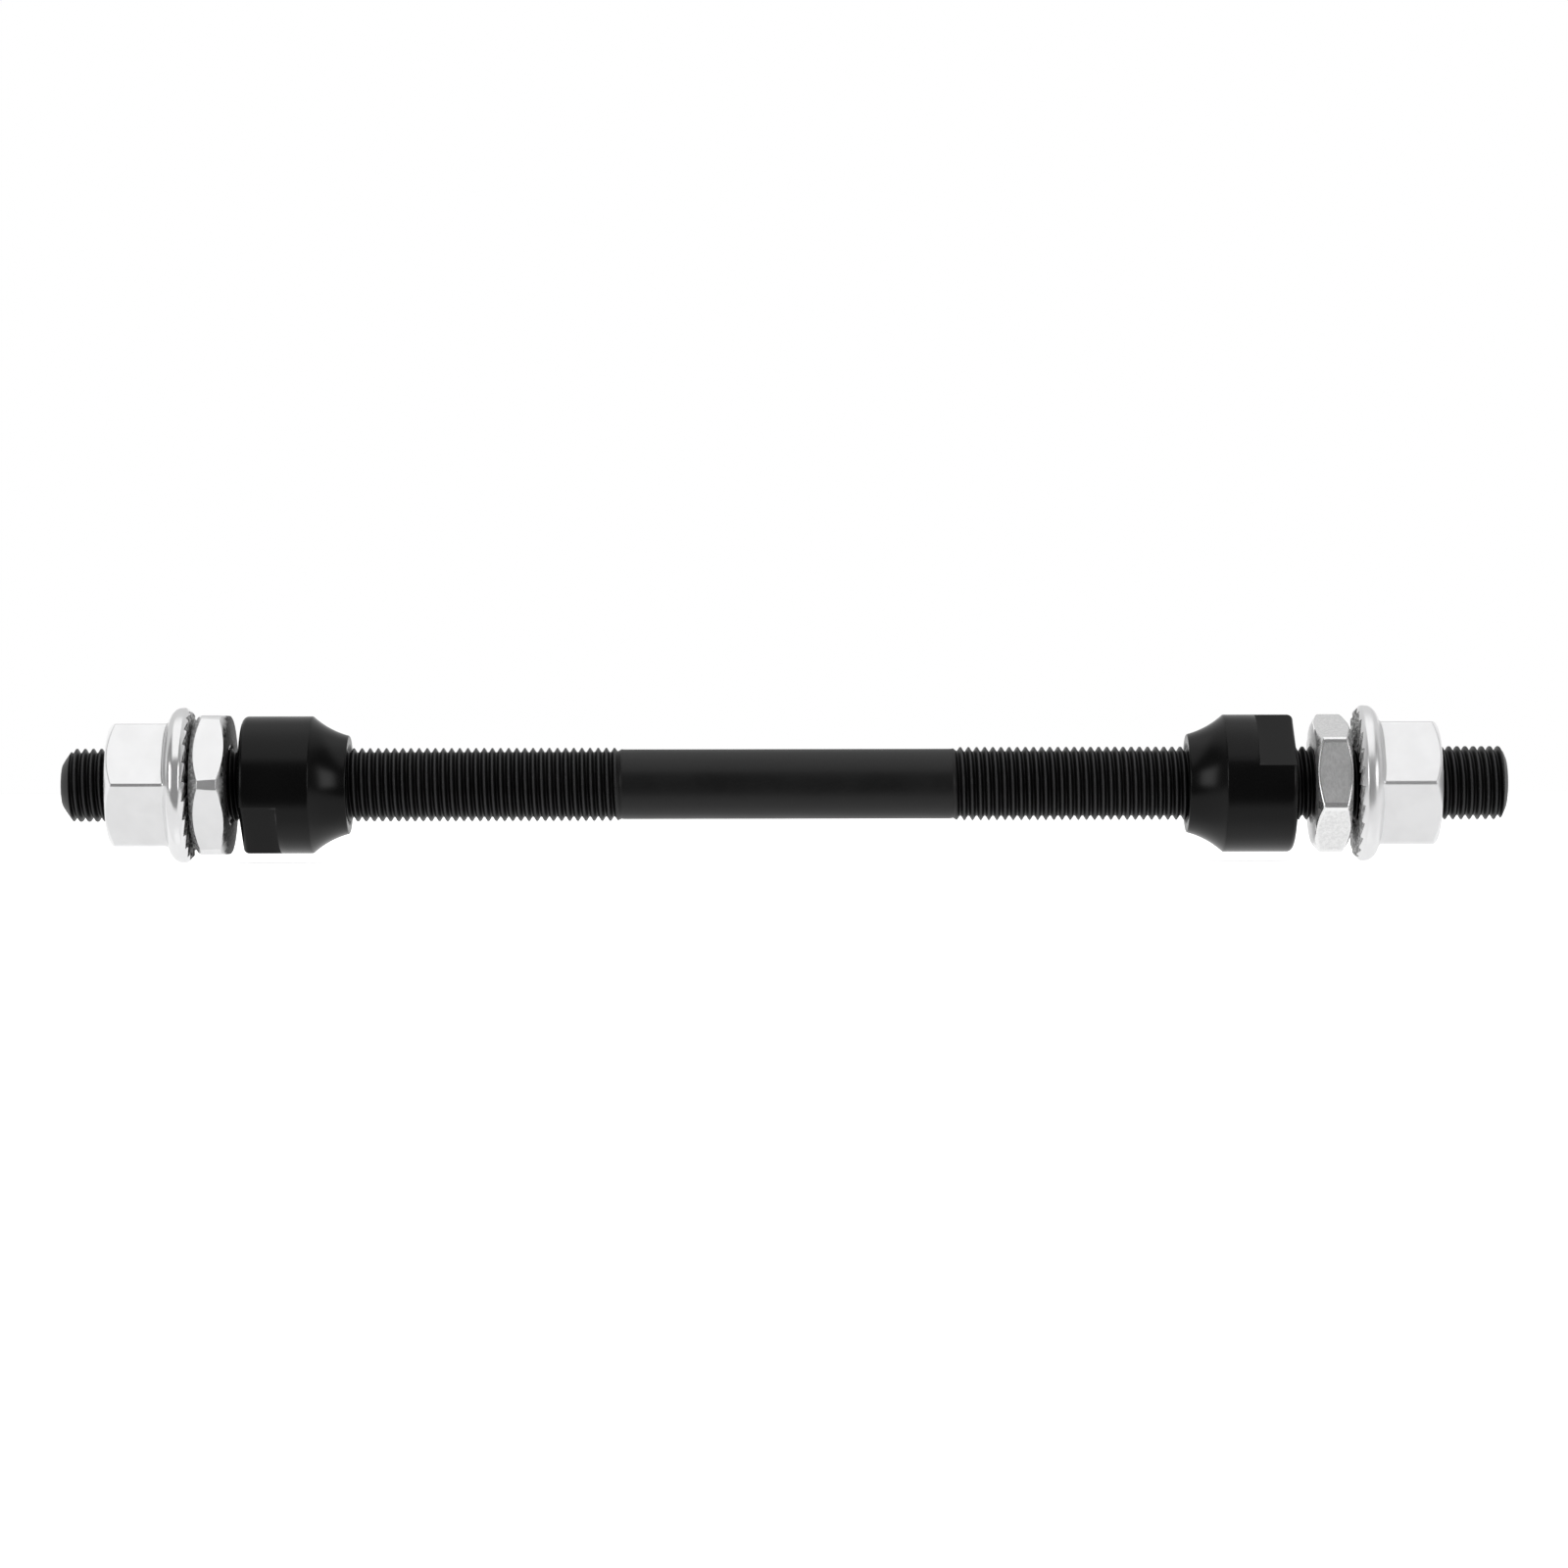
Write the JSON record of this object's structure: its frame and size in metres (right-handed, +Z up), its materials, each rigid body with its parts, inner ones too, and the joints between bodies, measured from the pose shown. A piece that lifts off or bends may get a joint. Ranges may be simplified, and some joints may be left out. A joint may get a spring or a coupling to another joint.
{
  "type": "bicycle hub axle",
  "caption": "Solid threaded bicycle hub axle with bearing cones, hex locknuts and serrated flange nuts that clamp it in a frame.",
  "frame": {"origin": "the middle of the axle's length, on the axle's own line", "axes": "+X runs along the axle towards the right end, where the axle stands further out of its nut; +Z is up and -Y is the front that the picture shows"},
  "size_m": [0.177, 0.019, 0.019],
  "materials": {
    "black_axle_steel": "black oxide on rolled threads and drawn bar, semi-matt",
    "black_cone_steel": "black oxide on turned and hardened steel, semi-matt, race ground smoother",
    "bright_plate": "bright nickel or zinc plate over forged steel",
    "satin_plate": "satin plate with a fine grain"
  },
  "bodies": {
    "axle": {"axle": "black_axle_steel"},
    "left_cone": {"left_cone": "black_cone_steel"},
    "right_cone": {"right_cone": "black_cone_steel"},
    "left_locknut": {"left_locknut": "bright_plate"},
    "right_locknut": {"right_locknut": "satin_plate"},
    "left_flange_nut": {"left_flange_nut": "bright_plate"},
    "right_flange_nut": {"right_flange_nut": "bright_plate"}
  },
  "joints": [
    {"name": "left_nut_travel", "type": "slide", "parent": "axle", "child": "left_flange_nut", "axis": [-1, 0, 0], "range_m": [0, 0.015]},
    {"name": "right_nut_travel", "type": "slide", "parent": "axle", "child": "right_flange_nut", "axis": [1, 0, 0], "range_m": [0, 0.018]},
    {"name": "left_locknut_travel", "type": "slide", "parent": "axle", "child": "left_locknut", "axis": [1, 0, 0], "range_m": [-0.0002, 0.0015]},
    {"name": "right_locknut_travel", "type": "slide", "parent": "axle", "child": "right_locknut", "axis": [-1, 0, 0], "range_m": [-0.0008, 0.0015]},
    {"name": "left_cone_travel", "type": "slide", "parent": "axle", "child": "left_cone", "axis": [1, 0, 0], "range_m": [0, 0.031]},
    {"name": "right_cone_travel", "type": "slide", "parent": "axle", "child": "right_cone", "axis": [-1, 0, 0], "range_m": [-0.0008, 0.027]}
  ]
}
